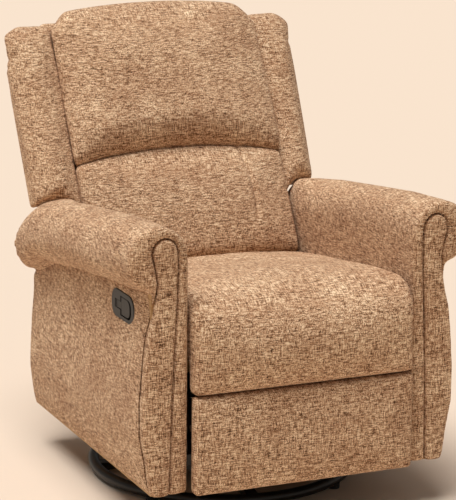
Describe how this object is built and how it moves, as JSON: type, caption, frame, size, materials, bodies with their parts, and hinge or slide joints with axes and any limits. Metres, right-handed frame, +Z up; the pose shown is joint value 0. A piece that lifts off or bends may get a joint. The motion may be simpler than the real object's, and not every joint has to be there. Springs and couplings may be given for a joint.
{
  "type": "glider nursery chair",
  "caption": "Upholstered wing-back glider recliner with rolled arms, pull-out footrest, side release handle and a round swivel base.",
  "frame": {"origin": "on the floor under the middle of the chair's box", "axes": "+Z up, -Y towards the sitter's feet, +X to the right seen from the front"},
  "size_m": [0.808, 0.9667, 1.023],
  "materials": {
    "tweed": "woven two-tone tan and brown tweed with slubs",
    "black_powder_coat": "satin black powder coat on steel",
    "zinc_steel": "zinc-plated steel",
    "rubber_pad": "black moulded rubber",
    "frame_wood": "planed pine and plywood, unfinished",
    "black_plastic": "black moulded plastic, fine satin"
  },
  "bodies": {
    "base": {"foot_pads": "rubber_pad", "base_ring": "black_powder_coat", "base_cross": "black_powder_coat", "swivel_lower_disc": "black_powder_coat", "bearing_balls": "zinc_steel", "king_bolt": "zinc_steel"},
    "turntable": {"swivel_upper_disc": "black_powder_coat", "glider_beams": "black_powder_coat", "glider_towers": "black_powder_coat", "glide_upper_rivets": "zinc_steel"},
    "front_hangers": {"glide_links_front": "black_powder_coat"},
    "rear_hangers": {"glide_links_rear": "black_powder_coat"},
    "chair_body": {"carriage_rails": "black_powder_coat", "carriage_cross_tubes": "black_powder_coat", "glide_lower_rivets": "zinc_steel", "mechanism_plates": "black_powder_coat", "recline_rivets": "zinc_steel", "seat_frame": "frame_wood", "seat_rail_screws": "zinc_steel", "seat_springs": "zinc_steel", "seat_spring_clips": "black_plastic", "seat_cushion": "tweed", "arm_mount_blocks": "frame_wood", "arm_frame_left": "frame_wood", "arm_frame_right": "frame_wood", "arm_inner_panels": "tweed", "arm_outer_panel_left": "tweed", "arm_outer_panel_right": "tweed", "arm_roll_left": "tweed", "arm_roll_right": "tweed", "arm_front_panel_left": "tweed", "arm_front_panel_right": "tweed", "arm_rear_panels": "tweed", "rear_panel": "tweed", "rear_rails": "frame_wood", "handle_bezel": "black_plastic", "paddle_pin": "zinc_steel", "release_cable": "black_plastic"},
    "seat_back": {"back_brackets": "black_powder_coat", "back_frame": "frame_wood", "back_springs": "zinc_steel", "back_outer_panel": "tweed", "lumbar_pad": "tweed", "headrest_pad": "tweed", "wing_frames": "tweed", "wing_pad_left": "tweed", "wing_pad_right": "tweed"},
    "main_link_pair": {"main_links": "black_powder_coat", "torque_tube": "zinc_steel", "knee_rivets": "zinc_steel", "control_rivets": "zinc_steel"},
    "drive_link_pair": {"drive_links": "black_powder_coat"},
    "control_link_pair": {"control_links": "black_powder_coat"},
    "footrest": {"footrest_brackets": "black_powder_coat", "bracket_rivets": "zinc_steel", "footrest_board": "frame_wood", "footrest_screws": "zinc_steel", "footrest_pad": "tweed"},
    "release_handle": {"release_paddle": "black_plastic"}
  },
  "joints": [
    {"name": "swivel", "type": "hinge", "parent": "base", "child": "turntable", "pos_m": [0, -0.028, 0.045], "axis": [0, 0, 1], "continuous": true},
    {"name": "glide", "type": "hinge", "parent": "turntable", "child": "front_hangers", "pos_m": [0, -0.158, 0.205], "axis": [1, 0, 0], "range_deg": [-20, 20]},
    {"name": "glide_carriage", "type": "hinge", "parent": "front_hangers", "child": "chair_body", "pos_m": [0, -0.158, 0.085], "axis": [1, 0, 0], "range_deg": [-20, 20]},
    {"name": "glide_rear_hangers", "type": "hinge", "parent": "turntable", "child": "rear_hangers", "pos_m": [0, 0.102, 0.205], "axis": [1, 0, 0], "range_deg": [-20, 20]},
    {"name": "recline", "type": "hinge", "parent": "chair_body", "child": "seat_back", "pos_m": [0, 0.235, 0.42], "axis": [-1, 0, 0], "range_deg": [0, 35]},
    {"name": "footrest_open", "type": "hinge", "parent": "chair_body", "child": "main_link_pair", "pos_m": [0, -0.345, 0.3], "axis": [-1, 0, 0], "range_deg": [0, 146]},
    {"name": "footrest_knee", "type": "hinge", "parent": "main_link_pair", "child": "drive_link_pair", "pos_m": [0, -0.1559, 0.23489], "axis": [-1, 0, 0], "range_deg": [-121.5, 0.5]},
    {"name": "footrest_control", "type": "hinge", "parent": "main_link_pair", "child": "control_link_pair", "pos_m": [0, -0.15355, 0.26475], "axis": [-1, 0, 0], "range_deg": [-128.7, 0.5]},
    {"name": "footrest_tilt", "type": "hinge", "parent": "drive_link_pair", "child": "footrest", "pos_m": [0, -0.4159, 0.23489], "axis": [-1, 0, 0], "range_deg": [-0.5, 63.5]},
    {"name": "handle_pull", "type": "hinge", "parent": "chair_body", "child": "release_handle", "pos_m": [-0.3545, -0.267, 0.488], "axis": [0, 0, -1], "range_deg": [0, 28], "stiffness_Nm_per_rad": 0.4, "springref_deg": -5.73}
  ],
  "couplings": [
    {"joint": "glide_carriage", "follows": "glide", "ratio": -1},
    {"joint": "glide_rear_hangers", "follows": "glide", "ratio": 1},
    {"joint": "footrest_knee", "follows": "footrest_open", "ratio": -0.82877},
    {"joint": "footrest_control", "follows": "footrest_open", "ratio": -0.87794},
    {"joint": "footrest_tilt", "follows": "footrest_open", "ratio": 0.43151}
  ]
}
